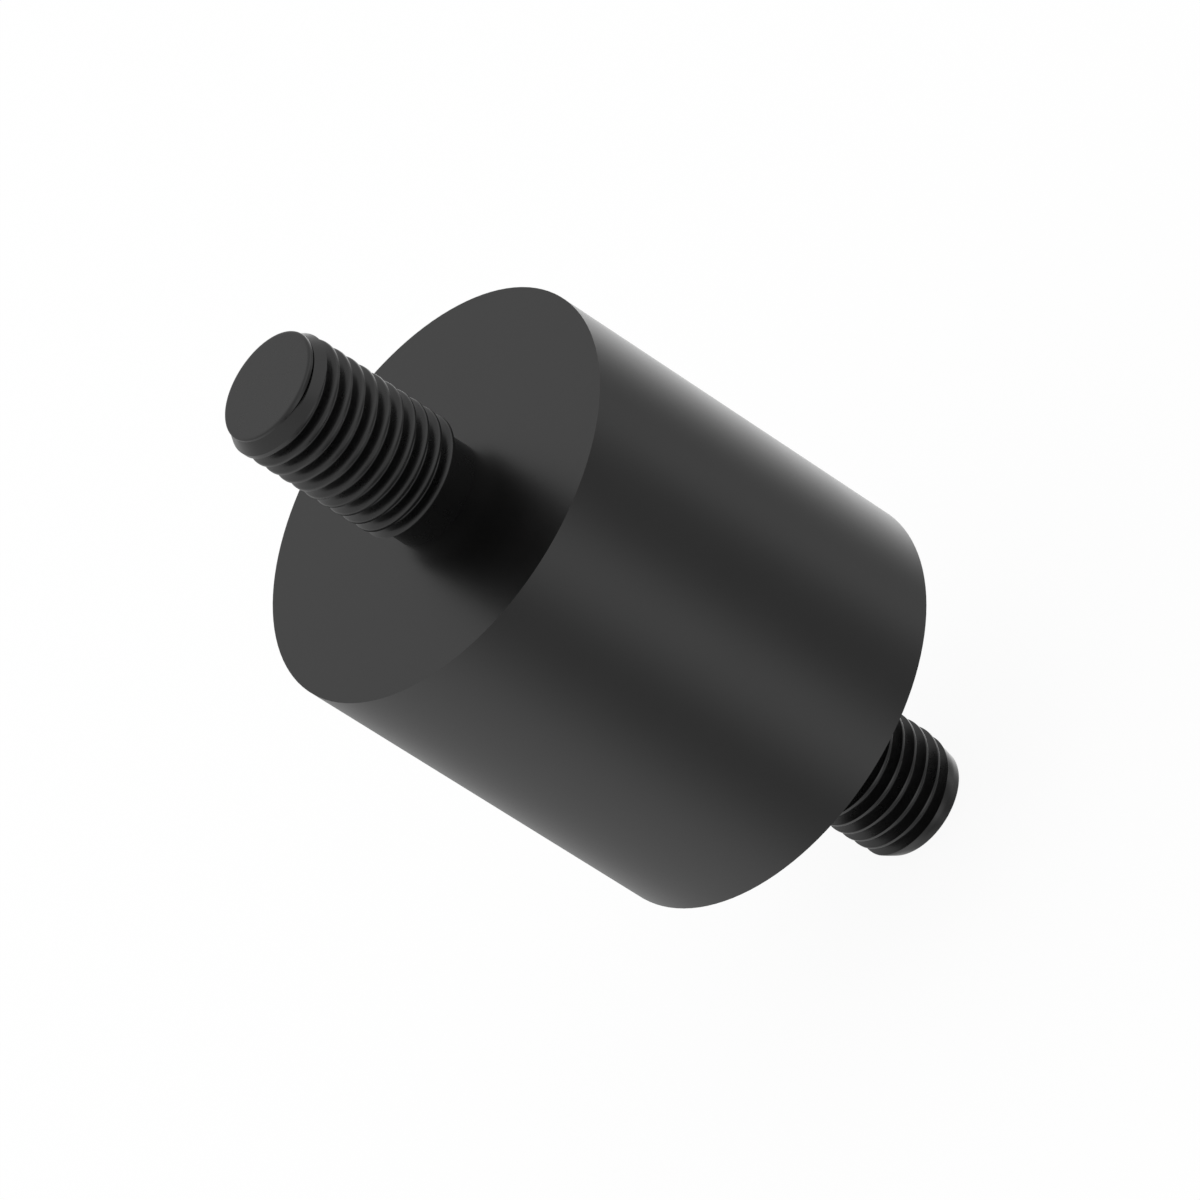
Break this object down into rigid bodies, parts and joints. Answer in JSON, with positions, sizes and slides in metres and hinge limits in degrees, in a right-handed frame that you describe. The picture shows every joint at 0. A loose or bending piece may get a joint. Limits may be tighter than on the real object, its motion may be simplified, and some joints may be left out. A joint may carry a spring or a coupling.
{
  "type": "isolator mount",
  "caption": "Cylindrical rubber vibration isolator mount with a threaded steel stud standing from the centre of each end face.",
  "frame": {"origin": "centre of the lower seating face, on the common axis of both studs", "axes": "+Z along the common axis from the lower seating face to the upper one; X and Y are free, because the part is round"},
  "size_m": [0.04, 0.04, 0.0794],
  "materials": {
    "rubber": "moulded black natural rubber, satin",
    "stud_steel": "turned and rolled steel with a black oxide coat, satin",
    "plate_steel": "plain steel, blasted for bonding and sealed inside the rubber"
  },
  "bodies": {
    "root": {"rubber_body": "rubber", "upper_stud": "stud_steel", "lower_stud": "stud_steel", "upper_plate": "plate_steel", "lower_plate": "plate_steel"}
  },
  "joints": []
}
